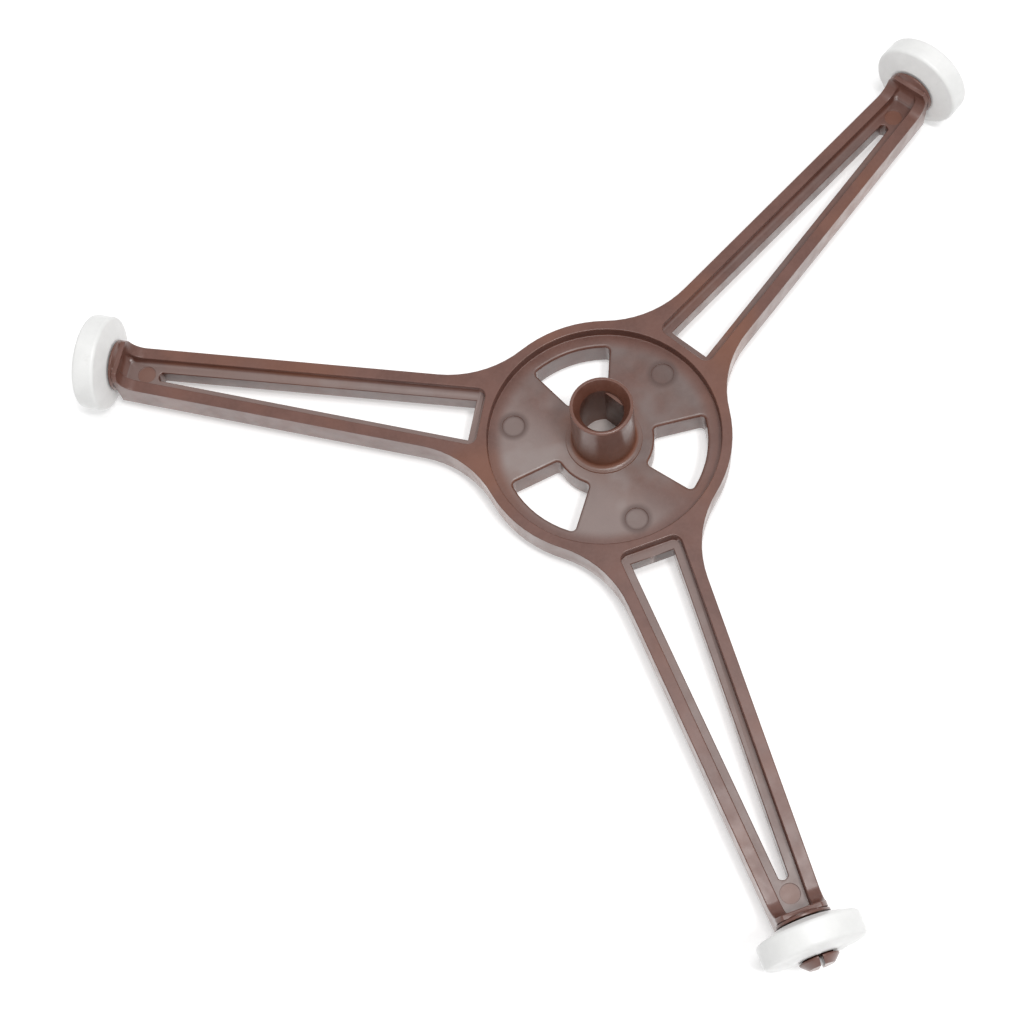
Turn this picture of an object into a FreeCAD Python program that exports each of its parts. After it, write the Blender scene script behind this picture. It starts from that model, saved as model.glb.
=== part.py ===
import FreeCAD
import Part
import Sketcher
import math
import os

# Microwave roller ring: a moulded three-armed spider with a drive socket in its
# hub and one free roller snapped onto a split axle at the end of each arm.
# The origin is on the drive axis, on the floor of the socket. +Z points out of
# the socket and +X runs along the first arm, which the flat of the socket faces.

doc = FreeCAD.newDocument("roller_ring")

# Driving dimensions, all in millimetres except the window angle in degrees
SIZES = (
    ("dish_radius", 21.4),
    ("ring_wall", 1.9),
    ("rim_height", 2.1),
    ("rim_width", 2.2),
    ("arm_depth", 3.6),
    ("boss_web", 1.5),
    ("boss_depth", 5.5),
    ("window_gap", 2.2),
    ("window_web", 2.5),
    ("window_angle", 47.0),
    ("window_corner", 0.9),
    ("socket_radius", 3.95),
    ("flat_depth", 0.65),
    ("flat_drop", 2.8),
    ("mouth_depth", 2.2),
    ("mouth_rim", 0.6),
    ("hub_wall", 1.75),
    ("hub_height", 13.9),
    ("hub_edge", 0.35),
    ("hub_fillet", 0.9),
    ("pad_step", 0.4),
    ("pad_height", 0.4),
    ("arm_length", 92.5),
    ("arm_root_station", 30.0),
    ("arm_root_half", 7.55),
    ("arm_tip_half", 4.4),
    ("blend_radius", 20.0),
    ("dip_web", 1.5),
    ("dip_corner", 1.6),
    ("slot_lip", 1.8),
    ("slot_margin", 7.4),
    ("slot_root_half", 4.05),
    ("slot_tip_half", 0.85),
    ("slot_tip_radius", 1.0),
    ("tip_corner", 0.7),
    ("end_wall", 0.9),
    ("wall_height", 5.9),
    ("flare_radius", 3.0),
    ("axle_height", 2.6),
    ("axle_radius", 2.65),
    ("flange_step", 2.1),
    ("flange_reach", 0.6),
    ("flange_width", 0.4),
    ("flange_ledge", 0.15),
    ("barb_step", 0.75),
    ("barb_width", 0.3),
    ("nose_step", 0.45),
    ("nose_length", 1.1),
    ("split_width", 0.7),
    ("split_length", 5.0),
    ("mark_radius", 2.1),
    ("mark_margin", 4.5),
    ("tip_mark_radius", 1.7),
    ("tip_mark_margin", 4.5),
    ("mark_depth", 0.2),
    ("roller_radius", 8.95),
    ("roller_edge", 0.25),
    ("tread_width", 4.1),
    ("cheek_depth", 1.1),
    ("cheek_wall", 2.3),
    ("face_depth", 0.6),
    ("running_gap", 0.05),
    ("end_play", 0.3),
)

sheet = doc.addObject("Spreadsheet::Sheet", "Sheet")
for row, (alias, number) in enumerate(SIZES, start=1):
    sheet.set("A%d" % row, alias.replace("_", " "))
    sheet.set("B%d" % row, str(number))
    sheet.setAlias("B%d" % row, alias)
doc.recompute()


class Size:
    """A number together with the expression that keeps it bound to the sheet."""

    def __init__(self, value, text):
        self.value = float(value)
        self.text = text

    def __add__(self, other):
        other = as_size(other)
        return Size(self.value + other.value, "(%s + %s)" % (self.text, other.text))

    def __sub__(self, other):
        other = as_size(other)
        return Size(self.value - other.value, "(%s - %s)" % (self.text, other.text))

    def __mul__(self, other):
        other = as_size(other)
        return Size(self.value * other.value, "(%s * %s)" % (self.text, other.text))

    def __truediv__(self, other):
        other = as_size(other)
        return Size(self.value / other.value, "(%s / %s)" % (self.text, other.text))

    def __neg__(self):
        return Size(-self.value, "(-1 * %s)" % self.text)


def as_size(number):
    if isinstance(number, Size):
        return number
    return Size(number, repr(float(number)))


def dim(alias):
    return Size(sheet.get(alias), "Sheet.%s" % alias)


def root(size):
    return Size(math.sqrt(size.value), "sqrt(%s)" % size.text)


def cosine(size):
    return Size(math.cos(math.radians(size.value)), "cos(%s)" % size.text)


def sine(size):
    return Size(math.sin(math.radians(size.value)), "sin(%s)" % size.text)


next_row = [len(SIZES) + 2]


def derived(alias, size):
    """Keep a computed size in the sheet, so that the sketches can name it."""
    row = next_row[0]
    next_row[0] = row + 1
    sheet.set("A%d" % row, alias.replace("_", " "))
    sheet.set("B%d" % row, "=" + size.text.replace("Sheet.", ""))
    sheet.setAlias("B%d" % row, alias)
    doc.recompute()
    return Size(size.value, "Sheet.%s" % alias)


def origin_feature(body, role):
    return [item for item in body.Origin.OriginFeatures if item.Role == role][0]


def new_sketch(body, name, plane, offset=None):
    """A sketch on one of the body's own planes, moved by a bound offset."""
    sketch = body.newObject("Sketcher::SketchObject", name)
    sketch.AttachmentSupport = (origin_feature(body, plane), [""])
    sketch.MapMode = "FlatFace"
    for axis, size in (offset or {}).items():
        sketch.setExpression("AttachmentOffset.Base." + axis, as_size(size).text)
    return sketch


def bind(sketch, index, size):
    sketch.setExpression("Constraints[%d]" % index, size.text)


def hold_point(sketch, geometry, end, x, y):
    """Hold one end of a curve at x, y measured from the sketch's origin."""
    for kind, size, axis in (("DistanceX", as_size(x), -2), ("DistanceY", as_size(y), -1)):
        if abs(size.value) < 1e-9:
            sketch.addConstraint(Sketcher.Constraint("PointOnObject", geometry, end, axis))
        elif size.value > 0:
            index = sketch.addConstraint(Sketcher.Constraint(kind, -1, 1, geometry, end, size.value))
            bind(sketch, index, size)
        else:
            index = sketch.addConstraint(Sketcher.Constraint(kind, geometry, end, -1, 1, -size.value))
            bind(sketch, index, -size)


def arc_between(start, end, radius, turn):
    """An arc from start to end; turn is 1 if it runs anticlockwise and -1 if clockwise."""
    span = end - start
    middle = (start + end) * 0.5
    rise = math.sqrt(max(radius * radius - span.Length * span.Length / 4, 0.0))
    across = FreeCAD.Vector(-span.y, span.x, 0).normalize()
    centre = middle + across * rise * turn
    first = math.atan2(start.y - centre.y, start.x - centre.x)
    last = math.atan2(end.y - centre.y, end.x - centre.x)
    circle = Part.Circle(centre, FreeCAD.Vector(0, 0, 1), radius)
    if turn > 0:
        return Part.ArcOfCircle(circle, first, last)
    return Part.ArcOfCircle(circle, last, first)


def outline(sketch, corners):
    """A closed outline of lines and arcs.

    Each corner is (x, y), followed for an arc to the next corner by its radius
    and by 1 for anticlockwise or -1 for clockwise.
    """
    spots = [FreeCAD.Vector(as_size(c[0]).value, as_size(c[1]).value, 0) for c in corners]
    count = len(corners)
    ends = []
    for number, corner in enumerate(corners):
        start = spots[number]
        end = spots[(number + 1) % count]
        if len(corner) == 2:
            index = sketch.addGeometry(Part.LineSegment(start, end))
            ends.append((index, 1, 2))
        else:
            radius = as_size(corner[2])
            index = sketch.addGeometry(arc_between(start, end, radius.value, corner[3]))
            ends.append((index, 1, 2) if corner[3] > 0 else (index, 2, 1))
    for number, corner in enumerate(corners):
        index, first, last = ends[number]
        following = ends[(number + 1) % count]
        sketch.addConstraint(Sketcher.Constraint("Coincident", index, last, following[0], following[1]))
        hold_point(sketch, index, first, corner[0], corner[1])
    for number, corner in enumerate(corners):
        if len(corner) > 2:
            radius = as_size(corner[2])
            place = sketch.addConstraint(Sketcher.Constraint("Radius", ends[number][0], radius.value))
            bind(sketch, place, radius)
    return sketch


def round_outline(sketch, x, y, radius):
    """A circle with its centre held at x, y."""
    x = as_size(x)
    y = as_size(y)
    circle = Part.Circle(FreeCAD.Vector(x.value, y.value, 0), FreeCAD.Vector(0, 0, 1), radius.value)
    index = sketch.addGeometry(circle)
    hold_point(sketch, index, 3, x, y)
    place = sketch.addConstraint(Sketcher.Constraint("Radius", index, radius.value))
    bind(sketch, place, radius)
    return sketch


def volume(body):
    doc.recompute()
    return body.Shape.Volume


def pad(body, name, sketch, length, midplane=False):
    feature = body.newObject("PartDesign::Pad", name)
    feature.Profile = sketch
    feature.setExpression("Length", as_size(length).text)
    feature.Midplane = midplane
    doc.recompute()
    return feature


def pocket(body, name, sketch, length, midplane=False):
    before = volume(body)
    feature = body.newObject("PartDesign::Pocket", name)
    feature.Profile = sketch
    feature.setExpression("Length", as_size(length).text)
    feature.Midplane = midplane
    after = volume(body)
    if after > before - 1e-6:
        raise RuntimeError("%s cuts nothing" % name)
    return feature


def revolve(body, name, sketch, axis):
    feature = body.newObject("PartDesign::Revolution", name)
    feature.Profile = sketch
    feature.ReferenceAxis = (sketch, [axis])
    feature.Angle = 360
    doc.recompute()
    return feature


def three_times(body, name, features):
    """Repeat the features on the three arms."""
    pattern = body.newObject("PartDesign::PolarPattern", name)
    pattern.Originals = features
    pattern.Axis = (origin_feature(body, "Z_Axis"), [""])
    pattern.Angle = 360
    pattern.Occurrences = 3
    body.Tip = pattern
    doc.recompute()
    return pattern


# Radii of the dished centre and of the hub, from the socket and the dish outwards
ring_radius = derived("ring_radius", dim("dish_radius") + dim("ring_wall"))
window_outer = derived("window_outer", dim("dish_radius") - dim("window_web"))
boss_radius = derived("boss_radius", window_outer + dim("boss_web"))
mark_station = derived("mark_station", dim("dish_radius") - dim("mark_margin"))
flat_offset = derived("flat_offset", dim("socket_radius") - dim("flat_depth"))
flat_half = derived("flat_half", root(dim("socket_radius") * dim("socket_radius")
                                      - flat_offset * flat_offset))
flat_height = derived("flat_height", dim("hub_height") - dim("flat_drop"))
hub_radius = derived("hub_radius", dim("socket_radius") + dim("hub_wall"))
mouth_radius = derived("mouth_radius", hub_radius - dim("mouth_rim"))
pad_radius = derived("pad_radius", hub_radius + dim("hub_fillet") + dim("pad_step"))
window_inner = derived("window_inner", pad_radius + dim("window_gap"))

# Stations along an arm, from the dish and from the arm's end
dip_start = derived("dip_start", dim("dish_radius") + dim("dip_web"))
slot_start = derived("slot_start", dip_start + dim("slot_lip"))
slot_end = derived("slot_end", dim("arm_length") - dim("slot_margin"))
tip_mark_station = derived("tip_mark_station", dim("arm_length") - dim("tip_mark_margin"))
dip_end = derived("dip_end", dim("arm_length") - dim("end_wall"))

# Line of an arm's long edge: half = edge_offset + edge_slope * distance
edge_slope = derived("edge_slope", (dim("arm_tip_half") - dim("arm_root_half"))
                     / (dim("arm_length") - dim("arm_root_station")))
edge_offset = derived("edge_offset", dim("arm_root_half") - edge_slope * dim("arm_root_station"))
edge_stretch = derived("edge_stretch", root(edge_slope * edge_slope + 1.0))


def arm_half(distance):
    return edge_offset + edge_slope * distance


def dip_half(distance):
    return arm_half(distance) - dim("rim_width") * edge_stretch


# Large concave blend between an arm's edge and the ring: its centre and its two ends
blend_line = derived("blend_line", edge_offset + dim("blend_radius") * edge_stretch)
blend_reach = derived("blend_reach", ring_radius + dim("blend_radius"))
blend_x = derived("blend_x", (root(edge_stretch * edge_stretch * blend_reach * blend_reach
                                   - blend_line * blend_line) - edge_slope * blend_line)
                  / (edge_stretch * edge_stretch))
blend_y = derived("blend_y", blend_line + edge_slope * blend_x)
leave_x = derived("leave_x", blend_x * ring_radius / blend_reach)
leave_y = derived("leave_y", blend_y * ring_radius / blend_reach)
meet_x = derived("meet_x", blend_x + dim("blend_radius") * edge_slope / edge_stretch)
meet_y = derived("meet_y", arm_half(meet_x))

# Hollow curve that lifts the sides of an arm to its end wall
flare_start = derived("flare_start", dip_end - dim("flare_radius"))
flare_top = derived("flare_top", dim("rim_height") + dim("flare_radius"))

# Rounded corners of a sector window
corner = dim("window_corner")
half_angle = derived("half_angle", dim("window_angle") / 2.0)
face_x = derived("face_x", cosine(half_angle))
face_y = derived("face_y", sine(half_angle))
outer_reach = derived("outer_reach", window_outer - corner)
inner_reach = derived("inner_reach", window_inner + corner)
outer_along = derived("outer_along", root(outer_reach * outer_reach - corner * corner))
inner_along = derived("inner_along", root(inner_reach * inner_reach - corner * corner))
outer_x = derived("outer_x", (outer_along * face_x + corner * face_y) * window_outer / outer_reach)
outer_y = derived("outer_y", (outer_along * face_y - corner * face_x) * window_outer / outer_reach)
inner_x = derived("inner_x", (inner_along * face_x + corner * face_y) * window_inner / inner_reach)
inner_y = derived("inner_y", (inner_along * face_y - corner * face_x) * window_inner / inner_reach)

# Stations along an axle
flange_start = derived("flange_start", dip_end + dim("flange_ledge"))
flange_face = derived("flange_face", dim("arm_length") + dim("flange_reach"))
roller_start = derived("roller_start", flange_face + dim("end_play"))
tread_start = derived("tread_start", roller_start + dim("cheek_depth"))
roller_end = derived("roller_end", tread_start + dim("tread_width"))
hub_end = derived("hub_end", roller_end + dim("face_depth"))
barb_start = derived("barb_start", hub_end + dim("end_play"))
barb_end = derived("barb_end", barb_start + dim("barb_width"))
nose_end = derived("nose_end", barb_end + dim("nose_length"))

# Radii of an axle and its roller
flange_radius = derived("flange_radius", dim("axle_radius") + dim("flange_step"))
wall_rise = derived("wall_rise", dim("wall_height") - dim("axle_height"))
corner_half = derived("corner_half", root(flange_radius * flange_radius - wall_rise * wall_rise))
barb_radius = derived("barb_radius", dim("axle_radius") + dim("barb_step"))
nose_radius = derived("nose_radius", dim("axle_radius") - dim("nose_step"))
bore = derived("bore", dim("axle_radius") + dim("running_gap"))
cheek_radius = derived("cheek_radius", bore + dim("cheek_wall"))

rim_to_base = dim("arm_depth") + dim("rim_height")
doc.recompute()

# Spider
spider = doc.addObject("PartDesign::Body", "spider")
spider.Label = "spider"

ring_plan = new_sketch(spider, "ring_plan", "XY_Plane", {"z": -dim("arm_depth")})
round_outline(ring_plan, 0, 0, ring_radius)
pad(spider, "ring", ring_plan, rim_to_base)

arm_plan = new_sketch(spider, "arm_plan", "XY_Plane", {"z": -dim("arm_depth")})
outline(arm_plan, (
    (0, 0),
    (leave_x, -leave_y, dim("blend_radius"), -1),
    (meet_x, -meet_y),
    (dim("arm_length"), -dim("arm_tip_half")),
    (dim("arm_length"), dim("arm_tip_half")),
    (meet_x, meet_y, dim("blend_radius"), -1),
    (leave_x, leave_y),
))
arm = pad(spider, "arm", arm_plan, rim_to_base)

# Raised end of the arm, whose sides sweep up to the end wall in a hollow curve
end_plan = new_sketch(spider, "end_plan", "XY_Plane")
outline(end_plan, (
    (flare_start, -arm_half(flare_start)),
    (dim("arm_length"), -dim("arm_tip_half")),
    (dim("arm_length"), dim("arm_tip_half")),
    (flare_start, arm_half(flare_start)),
))
arm_end = pad(spider, "arm_end", end_plan, dim("wall_height"))

above_wall = dim("wall_height") + dim("rim_height")
before_flare = flare_start - dim("rim_width")
flare_side = new_sketch(spider, "flare_side", "XZ_Plane")
outline(flare_side, (
    (flare_start, dim("rim_height"), dim("flare_radius"), 1),
    (dip_end, flare_top),
    (dip_end, above_wall),
    (before_flare, above_wall),
    (before_flare, dim("rim_height")),
))
flare = pocket(spider, "flare", flare_side, dim("arm_root_half") * 2.0, midplane=True)

# Upper corners of the end wall, rounded to the outline of the thrust flange
shoulder_plan = new_sketch(spider, "shoulder_plan", "YZ_Plane", {"z": dim("arm_length")})
for side, turn in ((1, -1), (-1, 1)):
    outline(shoulder_plan, (
        (corner_half * side, dim("wall_height"), flange_radius, turn),
        (flange_radius * side, dim("axle_height")),
        (flange_radius * side, above_wall),
        (corner_half * side, above_wall),
    ))
shoulders = pocket(spider, "shoulders", shoulder_plan, dim("arm_length") - flare_start)
three_times(spider, "three_arms", [arm, arm_end, flare, shoulders])

boss_plan = new_sketch(spider, "boss_plan", "XY_Plane", {"z": -dim("boss_depth")})
round_outline(boss_plan, 0, 0, boss_radius)
pad(spider, "boss", boss_plan, dim("boss_depth"))

dish_plan = new_sketch(spider, "dish_plan", "XY_Plane", {"z": dim("rim_height")})
round_outline(dish_plan, 0, 0, dim("dish_radius"))
pocket(spider, "dish", dish_plan, dim("rim_height"))

# Shallow dip along the top of each arm, inside its rim
dip_root = dip_half(dip_start)
dip_tip = dip_half(dip_end)
dip_plan = new_sketch(spider, "dip_plan", "XY_Plane", {"z": dim("wall_height")})
outline(dip_plan, (
    (dip_start + dim("dip_corner"), -dip_root),
    (dip_end - dim("tip_corner"), -dip_tip, dim("tip_corner"), 1),
    (dip_end, dim("tip_corner") - dip_tip),
    (dip_end, dip_tip - dim("tip_corner"), dim("tip_corner"), 1),
    (dip_end - dim("tip_corner"), dip_tip),
    (dip_start + dim("dip_corner"), dip_root, dim("dip_corner"), 1),
    (dip_start, dip_root - dim("dip_corner")),
    (dip_start, dim("dip_corner") - dip_root, dim("dip_corner"), 1),
))
dip = pocket(spider, "dip", dip_plan, dim("wall_height"))

slot_plan = new_sketch(spider, "slot_plan", "XY_Plane", {"z": dim("rim_height")})
outline(slot_plan, (
    (slot_start, -dim("slot_root_half")),
    (slot_end, -dim("slot_tip_half"), dim("slot_tip_radius"), 1),
    (slot_end, dim("slot_tip_half")),
    (slot_start, dim("slot_root_half")),
))
slot = pocket(spider, "slot", slot_plan, rim_to_base)

# Ejector marks in line with each arm, on the dished centre and near the arm's end
mark_plan = new_sketch(spider, "mark_plan", "XY_Plane")
round_outline(mark_plan, mark_station, 0, dim("mark_radius"))
mark = pocket(spider, "mark", mark_plan, dim("mark_depth"))
tip_mark_plan = new_sketch(spider, "tip_mark_plan", "XY_Plane")
round_outline(tip_mark_plan, tip_mark_station, 0, dim("tip_mark_radius"))
tip_mark = pocket(spider, "tip_mark", tip_mark_plan, dim("mark_depth"))
three_times(spider, "three_slots", [dip, slot, mark, tip_mark])

# Sector windows between the arms, with rounded corners
window_plan = new_sketch(spider, "window_plan", "XY_Plane", {"z": dim("rim_height")})
outline(window_plan, (
    (-inner_along * face_x, inner_along * face_y, corner, -1),
    (-inner_x, inner_y, window_inner, 1),
    (-inner_x, -inner_y, corner, -1),
    (-inner_along * face_x, -inner_along * face_y),
    (-outer_along * face_x, -outer_along * face_y, corner, -1),
    (-outer_x, -outer_y, window_outer, -1),
    (-outer_x, outer_y, corner, -1),
    (-outer_along * face_x, outer_along * face_y),
))
window = pocket(spider, "window", window_plan, dim("boss_depth") + dim("rim_height"))
three_times(spider, "three_windows", [window])

# Hub on a low round pad, turned in one piece with its foot fillet
foot = dim("pad_height") + dim("hub_fillet")
hub_side = new_sketch(spider, "hub_side", "XZ_Plane")
outline(hub_side, (
    (0, -dim("arm_depth")),
    (pad_radius, -dim("arm_depth")),
    (pad_radius, dim("pad_height")),
    (hub_radius + dim("hub_fillet"), dim("pad_height"), dim("hub_fillet"), -1),
    (hub_radius, foot),
    (hub_radius, dim("hub_height") - dim("hub_edge"), dim("hub_edge"), 1),
    (hub_radius - dim("hub_edge"), dim("hub_height")),
    (0, dim("hub_height")),
))
revolve(spider, "hub", hub_side, "V_Axis")

# Drive socket: a blind D-shaped hole under a round upper part and a flared mouth
socket_plan = new_sketch(spider, "socket_plan", "XY_Plane", {"z": dim("hub_height")})
outline(socket_plan, (
    (flat_offset, -flat_half),
    (flat_offset, flat_half, dim("socket_radius"), 1),
    (-dim("socket_radius"), 0, dim("socket_radius"), 1),
))
pocket(spider, "socket", socket_plan, dim("hub_height"))
above_hub = dim("hub_height") + dim("mouth_depth")
mouth_side = new_sketch(spider, "mouth_side", "XZ_Plane")
outline(mouth_side, (
    (0, flat_height),
    (dim("socket_radius"), flat_height),
    (dim("socket_radius"), dim("hub_height") - dim("mouth_depth")),
    (mouth_radius, dim("hub_height")),
    (mouth_radius, above_hub),
    (0, above_hub),
))
before_mouth = volume(spider)
mouth = spider.newObject("PartDesign::Groove", "mouth")
mouth.Profile = mouth_side
mouth.ReferenceAxis = (mouth_side, ["V_Axis"])
mouth.Angle = 360
if volume(spider) > before_mouth - 1e-6:
    raise RuntimeError("the mouth cuts nothing")

# Thrust flange and split axle with its snap barb, turned about the axle line
axle_side = new_sketch(spider, "axle_side", "XZ_Plane", {"y": dim("axle_height")})
outline(axle_side, (
    (flange_start, 0),
    (nose_end, 0),
    (nose_end, nose_radius),
    (barb_end, barb_radius),
    (barb_start, barb_radius),
    (barb_start, dim("axle_radius")),
    (flange_face, dim("axle_radius")),
    (flange_face, flange_radius),
    (flange_face - dim("flange_width"), flange_radius),
    (flange_start, dim("axle_radius")),
))
axle = revolve(spider, "axle", axle_side, "H_Axis")
split_side = new_sketch(spider, "split_side", "XZ_Plane", {"y": dim("axle_height")})
split_start = nose_end - dim("split_length")
split_end = nose_end + dim("nose_length")
outline(split_side, (
    (split_start, -flange_radius),
    (split_end, -flange_radius),
    (split_end, flange_radius),
    (split_start, flange_radius),
))
split = pocket(spider, "split", split_side, dim("split_width"), midplane=True)
three_times(spider, "three_axles", [axle, split])

# Rollers, each turned about its own axle line
rollers = []
for number, turn in ((1, 0), (2, 120), (3, 240)):
    roller = doc.addObject("PartDesign::Body", "roller_%d" % number)
    roller.Label = "roller_%d" % number
    side = new_sketch(roller, "roller_side_%d" % number, "XZ_Plane", {"y": dim("axle_height")})
    outline(side, (
        (roller_start, bore),
        (hub_end, bore),
        (hub_end, cheek_radius),
        (roller_end, dim("roller_radius") - dim("roller_edge")),
        (roller_end - dim("roller_edge"), dim("roller_radius")),
        (tread_start + dim("roller_edge"), dim("roller_radius")),
        (tread_start, dim("roller_radius") - dim("roller_edge")),
        (roller_start, cheek_radius),
    ))
    revolve(roller, "wheel_%d" % number, side, "H_Axis")
    roller.Placement = FreeCAD.Placement(FreeCAD.Vector(), FreeCAD.Rotation(FreeCAD.Vector(0, 0, 1), turn))
    rollers.append(roller)

doc.recompute()
for item in doc.Objects:
    if "Invalid" in item.State or "Error" in item.State:
        raise RuntimeError("%s failed" % item.Label)
pieces = [spider] + rollers
for piece in pieces:
    if piece.Shape.isNull() or not piece.Shape.isValid() or len(piece.Shape.Solids) != 1:
        raise RuntimeError("%s has no sound solid" % piece.Label)

os.makedirs("parts", exist_ok=True)
for piece in pieces:
    piece.Shape.exportStep("parts/%s.step" % piece.Label)
    box = piece.Shape.optimalBoundingBox()
    print("%s %.1f mm3, x %.2f..%.2f y %.2f..%.2f z %.2f..%.2f" % (
        piece.Label, piece.Shape.Volume, box.XMin, box.XMax, box.YMin, box.YMax, box.ZMin, box.ZMax))
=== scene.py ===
import math

import bmesh
import bpy
from mathutils import Matrix, Vector


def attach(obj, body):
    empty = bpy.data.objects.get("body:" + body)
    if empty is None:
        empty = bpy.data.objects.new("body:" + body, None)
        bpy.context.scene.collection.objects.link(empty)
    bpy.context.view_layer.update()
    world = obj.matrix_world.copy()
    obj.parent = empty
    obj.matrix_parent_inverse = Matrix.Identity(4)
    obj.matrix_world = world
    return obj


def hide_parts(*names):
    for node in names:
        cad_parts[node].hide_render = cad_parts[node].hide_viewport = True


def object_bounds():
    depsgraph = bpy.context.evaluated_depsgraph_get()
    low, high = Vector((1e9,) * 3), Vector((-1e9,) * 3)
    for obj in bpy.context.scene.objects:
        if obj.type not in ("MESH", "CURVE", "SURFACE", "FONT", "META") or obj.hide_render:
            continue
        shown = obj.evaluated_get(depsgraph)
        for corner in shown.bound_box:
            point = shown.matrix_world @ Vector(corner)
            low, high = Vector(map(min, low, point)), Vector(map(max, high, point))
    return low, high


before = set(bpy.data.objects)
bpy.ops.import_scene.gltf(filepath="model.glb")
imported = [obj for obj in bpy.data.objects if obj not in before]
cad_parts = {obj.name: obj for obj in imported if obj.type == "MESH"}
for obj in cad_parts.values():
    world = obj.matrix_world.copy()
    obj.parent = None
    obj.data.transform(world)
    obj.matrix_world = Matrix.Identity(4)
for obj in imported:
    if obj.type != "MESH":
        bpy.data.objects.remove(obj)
cad_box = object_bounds()

MM = 0.001

# Viewpoint of the photograph
CAMERA_AZIMUTH = math.radians(-128.106)
CAMERA_ELEVATION = math.radians(67.197)
CAMERA_ROLL = math.radians(-11.971)
CAMERA_DISTANCE = 324.545 * MM
CAMERA_TARGET = Vector((-21.593, 3.654, 0.0)) * MM
CAMERA_RANGE = (0.01, 10.0)
FOCAL_PIXELS = 1797.291
PICTURE_PIXELS = 1024
SENSOR_WIDTH = 36.0

# Studio: strengths of the surroundings as light and as seen, and the pale floor
AMBIENT_LEVEL = 0.5
SEEN_LEVEL = 1.0
FLOOR_Z = cad_box[0].z
FLOOR_HALF = 2.0
FLOOR_COLOUR = (0.8, 0.8, 0.8)
FLOOR_ROUGHNESS = 0.9
FLOOR_GLOSS = 0.1
FLOOR_GLOW = 0.4
WHITE = (1.0, 1.0, 1.0)

# Lamps that aim at the hub: name, place in metres, width in metres, watts
LAMPS = (
    ("key", (-0.033, -0.373, 0.887), 0.14, 2.8),
    ("overhead", (0.01, -0.035, 0.70), 0.2, 1.6),
)

# Moulded edges, rounded by the room that they have
EDGE_ROUNDING = 0.2 * MM
WINDOW_ROUNDING = 0.6 * MM
FINE_ROUNDING = 0.06 * MM
ROUNDING_SEGMENTS = 3
SHARP_ANGLE = math.radians(24.0)
MERGE_DISTANCE = 0.002 * MM
FLAT_ANGLE = math.radians(0.5)
NORMAL_WEIGHT = 100

# Distances from the hub's axis that part the edges by the room around them
HUB_REACH = 7.5 * MM
WINDOW_REACH = (8.8 * MM, 19.3 * MM)
DISH_REACH = 24.0 * MM
END_REACH = 92.3 * MM
LEVEL_MARGIN = 0.05 * MM

# Outline of a roller in millimetres: distance from the hub's axis, radius, rounding
ROLLER_OUTLINE = (
    (93.40, 2.70, 0.15),
    (99.20, 2.70, 0.15),
    (99.20, 5.00, 0.30),
    (98.56, 8.95, 0.70),
    (94.57, 8.95, 0.70),
    (93.40, 5.00, 0.40),
)
ROLLER_SEGMENTS = 128
ROUNDING_STEPS = 5
AXLE_HEIGHT = 2.6
ARM_ANGLES = {"roller_1": 0.0, "roller_2": 120.0, "roller_3": 240.0}

# Ejector marks on each arm's line: distance from the hub's axis and radius
DISH_MARK = (16.9 * MM, 2.1 * MM)
TIP_MARK = (88.0 * MM, 1.7 * MM)

# Colours of the brown moulding
DARK_BROWN = (0.104, 0.040, 0.028)
LIGHT_BROWN = (0.140, 0.058, 0.042)
FLECK_BROWN = (0.165, 0.078, 0.060)
WARM_BROWN = (0.190, 0.064, 0.028)
# Painted sheen on the upward floors for the lamps' reflection; the third is where it is strongest on one
# side
DARK_PAINTED_SHEEN = (0.120, 0.078, 0.069)
LIGHT_PAINTED_SHEEN = (0.165, 0.118, 0.108)
SIDE_PAINTED_SHEEN = (0.290, 0.235, 0.220)
# Painted light on the shaded floor of the hub's socket
SOCKET_PAINTED_LIGHT = (0.440, 0.390, 0.370)
# Painted shade in a ring round each of the dish's ejector marks
DISH_MARK_PAINTED_SHADE = (0.070, 0.034, 0.027)
TIP_MARK_BROWN = (0.180, 0.064, 0.034)
BROWN_IOR = 1.55

# Colours of the white rollers
DARK_WHITE = (0.80, 0.80, 0.79)
LIGHT_WHITE = (0.86, 0.86, 0.85)
SOIL_GREY = (0.55, 0.53, 0.50)
WHITE_IOR = 1.48

# Heights of the waves and of the grain in both plastics
WAVE_HEIGHT = 0.10 * MM
GRAIN_HEIGHT = 0.03 * MM


def any_ray(nodes, links, kinds):
    """One for light paths of any of the kinds, and else zero."""
    path = nodes.new("ShaderNodeLightPath")
    found = path.outputs[kinds[0]]
    for kind in kinds[1:]:
        either = nodes.new("ShaderNodeMath")
        either.operation = "MAXIMUM"
        links.new(found, either.inputs[0])
        links.new(path.outputs[kind], either.inputs[1])
        found = either.outputs["Value"]
    return found


def set_world():
    world = bpy.data.worlds.new("studio")
    bpy.context.scene.world = world
    world.use_nodes = True
    nodes = world.node_tree.nodes
    links = world.node_tree.links
    background = nodes["Background"]
    background.inputs["Color"].default_value = (*WHITE, 1.0)
    seen = any_ray(nodes, links, ("Is Camera Ray", "Is Glossy Ray", "Is Transmission Ray"))
    level = nodes.new("ShaderNodeMapRange")
    level.inputs["To Min"].default_value = AMBIENT_LEVEL
    level.inputs["To Max"].default_value = SEEN_LEVEL
    links.new(seen, level.inputs["Value"])
    links.new(level.outputs["Result"], background.inputs["Strength"])


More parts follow.
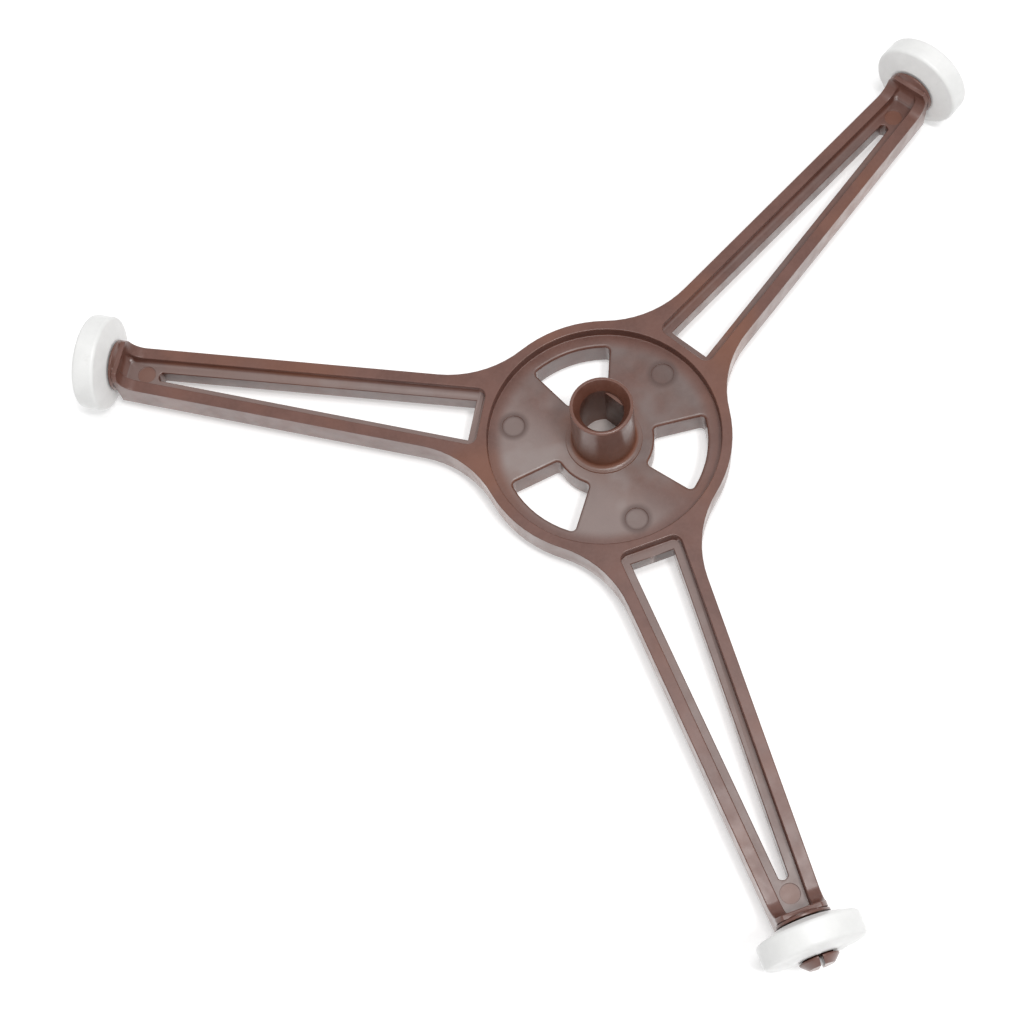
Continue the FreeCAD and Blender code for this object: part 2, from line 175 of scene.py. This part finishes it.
def set_camera():
    data = bpy.data.cameras.new("camera")
    camera = bpy.data.objects.new("camera", data)
    bpy.context.scene.collection.objects.link(camera)
    bpy.context.scene.camera = camera
    data.sensor_width = SENSOR_WIDTH
    data.lens = FOCAL_PIXELS * SENSOR_WIDTH / PICTURE_PIXELS
    data.clip_start, data.clip_end = CAMERA_RANGE
    back = Vector((
        math.cos(CAMERA_ELEVATION) * math.cos(CAMERA_AZIMUTH),
        math.cos(CAMERA_ELEVATION) * math.sin(CAMERA_AZIMUTH),
        math.sin(CAMERA_ELEVATION),
    ))
    level = Vector((-math.sin(CAMERA_AZIMUTH), math.cos(CAMERA_AZIMUTH), 0.0))
    upright = back.cross(level)
    right = level * math.cos(CAMERA_ROLL) + upright * math.sin(CAMERA_ROLL)
    up = upright * math.cos(CAMERA_ROLL) - level * math.sin(CAMERA_ROLL)
    axes = Matrix((right, up, back)).transposed().to_4x4()
    camera.matrix_world = Matrix.Translation(CAMERA_TARGET + back * CAMERA_DISTANCE) @ axes


def add_floor():
    """A pale floor that keeps the part's shadow and is white to the eye and in gloss."""
    corners = [(x * FLOOR_HALF, y * FLOOR_HALF, FLOOR_Z) for x, y in ((-1, -1), (1, -1), (1, 1), (-1, 1))]
    mesh = bpy.data.meshes.new("floor")
    mesh.from_pydata(corners, [], [(0, 1, 2, 3)])
    floor = bpy.data.objects.new("floor", mesh)
    bpy.context.scene.collection.objects.link(floor)
    material = bpy.data.materials.new("floor")
    material.use_nodes = True
    nodes = material.node_tree.nodes
    links = material.node_tree.links
    shader = nodes["Principled BSDF"]
    shader.inputs["Base Color"].default_value = (*FLOOR_COLOUR, 1.0)
    shader.inputs["Roughness"].default_value = FLOOR_ROUGHNESS
    shader.inputs["Specular IOR Level"].default_value = FLOOR_GLOSS
    shader.inputs["Emission Color"].default_value = (*WHITE, 1.0)
    level = nodes.new("ShaderNodeMath")
    level.operation = "MULTIPLY_ADD"
    level.inputs[1].default_value = FLOOR_GLOW
    links.new(any_ray(nodes, links, ("Is Camera Ray",)), level.inputs[0])
    links.new(any_ray(nodes, links, ("Is Glossy Ray", "Is Transmission Ray")), level.inputs[2])
    links.new(level.outputs["Value"], shader.inputs["Emission Strength"])
    mesh.materials.append(material)


def add_lamp(name, place, size, power):
    data = bpy.data.lights.new(name, "AREA")
    data.shape = "DISK"
    data.size = size
    data.energy = power
    lamp = bpy.data.objects.new(name, data)
    bpy.context.scene.collection.objects.link(lamp)
    lamp.location = place
    lamp.rotation_mode = "QUATERNION"
    lamp.rotation_quaternion = (-Vector(place)).to_track_quat("-Z", "Y")


def on_arms(station):
    """The three spots at one distance from the hub's axis on the arms' lines."""
    turns = [math.radians(angle) for angle in ARM_ANGLES.values()]
    return [Vector((station * math.cos(turn), station * math.sin(turn), 0.0)) for turn in turns]


class Surface:
    """A procedural material with short calls for the nodes that it is made of."""

    def __init__(self, name):
        self.material = bpy.data.materials.new(name)
        self.material.use_nodes = True
        self.nodes = self.material.node_tree.nodes
        self.links = self.material.node_tree.links
        self.shader = self.nodes["Principled BSDF"]
        self.place = self.nodes.new("ShaderNodeTexCoord").outputs["Object"]

    def feed(self, socket, value):
        if isinstance(value, bpy.types.NodeSocket):
            self.links.new(value, socket)
        else:
            socket.default_value = value

    def noise(self, scale, detail, roughness=0.5):
        node = self.nodes.new("ShaderNodeTexNoise")
        node.inputs["Scale"].default_value = scale
        node.inputs["Detail"].default_value = detail
        node.inputs["Roughness"].default_value = roughness
        self.links.new(self.place, node.inputs["Vector"])
        return node.outputs["Fac"]

    def ramp(self, value, low, high, to_low=0.0, to_high=1.0):
        node = self.nodes.new("ShaderNodeMapRange")
        node.interpolation_type = "SMOOTHSTEP"
        self.feed(node.inputs["Value"], value)
        node.inputs["From Min"].default_value = low
        node.inputs["From Max"].default_value = high
        node.inputs["To Min"].default_value = to_low
        node.inputs["To Max"].default_value = to_high
        return node.outputs["Result"]

    def math(self, operation, first, second):
        node = self.nodes.new("ShaderNodeMath")
        node.operation = operation
        self.feed(node.inputs[0], first)
        self.feed(node.inputs[1], second)
        return node.outputs["Value"]

    def both(self, first, second):
        return self.math("MULTIPLY", first, second)

    def either(self, first, second):
        return self.math("MAXIMUM", first, second)

    def mix(self, factor, first, second):
        """The first colour where the factor is zero and the second where it is one."""
        node = self.nodes.new("ShaderNodeMix")
        node.data_type = "RGBA"
        self.feed(node.inputs["Factor"], factor)
        for socket, colour in ((node.inputs[6], first), (node.inputs[7], second)):
            self.feed(socket, colour if isinstance(colour, bpy.types.NodeSocket) else (*colour, 1.0))
        return node.outputs[2]

    def nearest(self, station):
        """Distance to the nearest of three spots at the same station on the arms."""
        distances = []
        for spot in on_arms(station):
            node = self.nodes.new("ShaderNodeVectorMath")
            node.operation = "DISTANCE"
            self.links.new(self.place, node.inputs[0])
            node.inputs[1].default_value = spot
            distances.append(node.outputs["Value"])
        found = distances[0]
        for distance in distances[1:]:
            found = self.math("MINIMUM", found, distance)
        return found

    def axis_distance(self, across):
        """Distance from the hub's axis."""
        along = self.math("POWER", across["X"], 2.0)
        aside = self.math("POWER", across["Y"], 2.0)
        return self.math("POWER", self.math("ADD", along, aside), 0.5)

    def parts(self, vector):
        node = self.nodes.new("ShaderNodeSeparateXYZ")
        self.links.new(vector, node.inputs["Vector"])
        return node.outputs

    def bump(self, height, strength, distance, below=None):
        node = self.nodes.new("ShaderNodeBump")
        node.inputs["Distance"].default_value = distance
        self.feed(node.inputs["Strength"], strength)
        self.links.new(height, node.inputs["Height"])
        if below is not None:
            self.links.new(below, node.inputs["Normal"])
        return node.outputs["Normal"]


def spider_brown(surface, clouds, across, out):
    """The moulding's brown, with flecks, and warmer at the hub's foot and in patches."""
    flecks = surface.ramp(surface.noise(scale=1500.0, detail=2.0), 0.35, 0.75)
    brown = surface.mix(clouds, DARK_BROWN, LIGHT_BROWN)
    brown = surface.mix(surface.both(flecks, 0.25), brown, FLECK_BROWN)
    beside_hub = surface.ramp(out, 7.0 * MM, 11.0 * MM, 1.0, 0.0)
    below_mouth = surface.ramp(across["Z"], 3.0 * MM, 11.0 * MM, 1.0, 0.25)
    foot = surface.both(beside_hub, below_mouth)
    patches = surface.ramp(surface.noise(scale=48.0, detail=2.0), 0.48, 0.72)
    return surface.mix(surface.both(surface.either(foot, patches), 0.55), brown, WARM_BROWN)


def with_painted_sheen(surface, brown, clouds, floors, across, out):
    """The colour with a painted sheen for the lamps' reflection, in drifts on the floors, less at the
    dish's edge and more on one side, and painted light on the socket's floor.
    """
    # Painted reflection, stronger toward negative X
    sheen_side = surface.ramp(across["X"], -9.0 * MM, 3.0 * MM, 0.75, 0.0)
    painted_sheen = surface.mix(sheen_side, surface.mix(clouds, DARK_PAINTED_SHEEN, LIGHT_PAINTED_SHEEN), SIDE_PAINTED_SHEEN)
    drift = surface.ramp(surface.noise(scale=75.0, detail=3.0, roughness=0.55), 0.30, 0.66)
    in_dish = surface.ramp(out, 18.0 * MM, 20.5 * MM, 1.0, 0.1)
    on_arm = surface.ramp(out, 22.0 * MM, 24.0 * MM, 0.0, 0.7)
    cover = surface.both(surface.either(drift, sheen_side), surface.either(in_dish, on_arm))
    colour = surface.mix(surface.both(floors, cover), brown, painted_sheen)
    # Painted light on the socket's floor, which lies in shade
    in_socket = surface.ramp(out, 4.0 * MM, 5.5 * MM, 1.0, 0.0)
    return surface.mix(surface.both(floors, in_socket), colour, SOCKET_PAINTED_LIGHT)


def marked(surface, colour, floors):
    """The colour with painted shade in rings round the dish's ejector marks and warm discs at the tips'.
    """
    # Painted shade: darkest at the mark's edge, lighter inside and fading outside
    station, radius = DISH_MARK
    distance = surface.nearest(station)
    inward = surface.ramp(distance, 0.75 * radius, radius, 0.4, 1.0)
    outward = surface.ramp(distance, radius, 1.6 * radius, 0.8, 0.0)
    colour = surface.mix(surface.both(surface.both(inward, outward), floors), colour, DISH_MARK_PAINTED_SHADE)
    station, radius = TIP_MARK
    disc = surface.ramp(surface.nearest(station), 0.9 * radius, 1.1 * radius, 0.6, 0.0)
    return surface.mix(surface.both(disc, floors), colour, TIP_MARK_BROWN)


def spider_plastic():
    """Brown moulded plastic: polished rims and hub, rougher spark-eroded floors with a painted sheen."""
    surface = Surface("spider_plastic")
    across = surface.parts(surface.place)
    out = surface.axis_distance(across)
    facing = surface.parts(surface.nodes.new("ShaderNodeNewGeometry").outputs["Normal"])
    low = surface.ramp(across["Z"], 0.3 * MM, 0.6 * MM, 1.0, 0.0)
    floors = surface.both(low, surface.ramp(facing["Z"], 0.75, 0.95))
    clouds = surface.ramp(surface.noise(scale=140.0, detail=5.0, roughness=0.6), 0.3, 0.7)
    colour = spider_brown(surface, clouds, across, out)
    colour = with_painted_sheen(surface, colour, clouds, floors, across, out)
    surface.feed(surface.shader.inputs["Base Color"], marked(surface, colour, floors))
    polish = surface.ramp(surface.noise(scale=320.0, detail=4.0), 0.25, 0.75, 0.28, 0.40)
    matte = surface.both(floors, 0.08)
    surface.feed(surface.shader.inputs["Roughness"], surface.math("ADD", polish, matte))
    waves = surface.bump(surface.noise(scale=160.0, detail=2.0), 0.12, WAVE_HEIGHT)
    coarse = surface.math("ADD", surface.both(floors, 0.25), 0.08)
    grain = surface.bump(surface.noise(scale=2600.0, detail=3.0), coarse, GRAIN_HEIGHT, waves)
    surface.feed(surface.shader.inputs["Normal"], grain)
    surface.shader.inputs["IOR"].default_value = BROWN_IOR
    return surface.material


def roller_plastic():
    """White low-friction plastic with a satin skin and a little soiling."""
    surface = Surface("roller_plastic")
    clouds = surface.ramp(surface.noise(scale=220.0, detail=5.0, roughness=0.6), 0.3, 0.7)
    soil = surface.ramp(surface.noise(scale=600.0, detail=6.0, roughness=0.7), 0.58, 0.80)
    colour = surface.mix(clouds, DARK_WHITE, LIGHT_WHITE)
    colour = surface.mix(surface.both(soil, 0.18), colour, SOIL_GREY)
    surface.feed(surface.shader.inputs["Base Color"], colour)
    satin = surface.ramp(surface.noise(scale=420.0, detail=4.0), 0.25, 0.75, 0.34, 0.48)
    surface.feed(surface.shader.inputs["Roughness"], satin)
    waves = surface.bump(surface.noise(scale=260.0, detail=2.0), 0.10, WAVE_HEIGHT)
    grain = surface.bump(surface.noise(scale=2400.0, detail=3.0), 0.10, GRAIN_HEIGHT, waves)
    surface.feed(surface.shader.inputs["Normal"], grain)
    surface.shader.inputs["IOR"].default_value = WHITE_IOR
    return surface.material


def dress(piece, node, body, material):
    piece.data.materials.clear()
    piece.data.materials.append(material)
    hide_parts(node)
    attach(piece, body)


def add_piece(name, shape):
    """An object with smooth shading from a finished shape."""
    mesh = bpy.data.meshes.new(name)
    shape.to_mesh(mesh)
    shape.free()
    mesh.polygons.foreach_set("use_smooth", [True] * len(mesh.polygons))
    piece = bpy.data.objects.new(name, mesh)
    bpy.context.scene.collection.objects.link(piece)
    return piece


def weigh_normals(piece):
    """Let the large faces set the shading, so that they look flat up to the roundings."""
    weigh = piece.modifiers.new("weighted", "WEIGHTED_NORMAL")
    weigh.mode = "FACE_AREA"
    weigh.weight = NORMAL_WEIGHT


def near_mark(spot, mark):
    """Whether a spot is within the ejector mark of this station and radius on any arm."""
    station, radius = mark
    return any((spot.xy - centre.xy).length < radius + LEVEL_MARGIN for centre in on_arms(station))


def edge_rounding(edge):
    """The radius that the mould gives to a sharp edge, by the room around it."""
    spots = [vert.co for vert in edge.verts]
    near = min(spot.xy.length for spot in spots)
    far = max(spot.xy.length for spot in spots)
    if far > DISH_REACH and not edge.is_convex:
        return 0.0
    if near > END_REACH or far < HUB_REACH:
        return FINE_ROUNDING
    if all(near_mark(spot, DISH_MARK) or near_mark(spot, TIP_MARK) for spot in spots):
        return FINE_ROUNDING
    level = all(abs(spot.z) < LEVEL_MARGIN for spot in spots)
    if level and WINDOW_REACH[0] < far < WINDOW_REACH[1]:
        return WINDOW_ROUNDING
    return EDGE_ROUNDING


def rounded_copy(node, name):
    """A copy of a CAD node with its sharp edges rounded as a mould rounds them."""
    shape = bmesh.new()
    shape.from_mesh(node.data)
    bmesh.ops.remove_doubles(shape, verts=shape.verts, dist=MERGE_DISTANCE)
    bmesh.ops.dissolve_limit(shape, angle_limit=FLAT_ANGLE, verts=shape.verts, edges=shape.edges)
    share = shape.edges.layers.float.new("bevel_weight_edge")
    for edge in shape.edges:
        if edge.calc_face_angle(0.0) > SHARP_ANGLE:
            edge[share] = edge_rounding(edge) / WINDOW_ROUNDING
    piece = add_piece(name, shape)
    bevel = piece.modifiers.new("rounding", "BEVEL")
    bevel.limit_method = "WEIGHT"
    bevel.width = WINDOW_ROUNDING
    bevel.segments = ROUNDING_SEGMENTS
    bevel.use_clamp_overlap = False
    bevel.loop_slide = False
    weigh_normals(piece)
    return piece


def rounded_outline(corners):
    """The closed outline's points with each corner replaced by a circular arc."""
    points = []
    count = len(corners)
    for number, (x, y, radius) in enumerate(corners):
        here = Vector((x, y))
        before = (Vector(corners[number - 1][:2]) - here).normalized()
        after = (Vector(corners[(number + 1) % count][:2]) - here).normalized()
        half = before.angle(after) / 2
        centre = here + (before + after).normalized() * (radius / math.sin(half))
        first = here + before * (radius / math.tan(half)) - centre
        last = here + after * (radius / math.tan(half)) - centre
        for step in range(ROUNDING_STEPS + 1):
            share = step / ROUNDING_STEPS
            points.append(centre + first.lerp(last, share).normalized() * radius)
    return points


def turned_roller(name, angle):
    """A roller turned about its axle line from its rounded outline."""
    outline = rounded_outline(ROLLER_OUTLINE)
    shape = bmesh.new()
    aim = Matrix.Rotation(math.radians(angle), 4, "Z")
    rings = []
    for number in range(ROLLER_SEGMENTS):
        spin = 2 * math.pi * number / ROLLER_SEGMENTS
        ring = []
        for x, radius in outline:
            spot = Vector((x, radius * math.sin(spin), AXLE_HEIGHT + radius * math.cos(spin))) * MM
            ring.append(shape.verts.new(aim @ spot))
        rings.append(ring)
    for number, ring in enumerate(rings):
        following = rings[(number + 1) % ROLLER_SEGMENTS]
        for step in range(len(outline)):
            ahead = (step + 1) % len(outline)
            shape.faces.new((ring[step], ring[ahead], following[ahead], following[step]))
    bmesh.ops.recalc_face_normals(shape, faces=shape.faces)
    piece = add_piece(name, shape)
    weigh_normals(piece)
    return piece


bpy.context.scene.view_settings.view_transform = "Standard"
set_world()
set_camera()
add_floor()
for lamp in LAMPS:
    add_lamp(*lamp)

brown = spider_plastic()
white = roller_plastic()
spider = rounded_copy(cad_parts["spider"], "spider_moulding")
dress(spider, "spider", "spider", brown)
for node, angle in ARM_ANGLES.items():
    dress(turned_roller(node + "_wheel", angle), node, node, white)
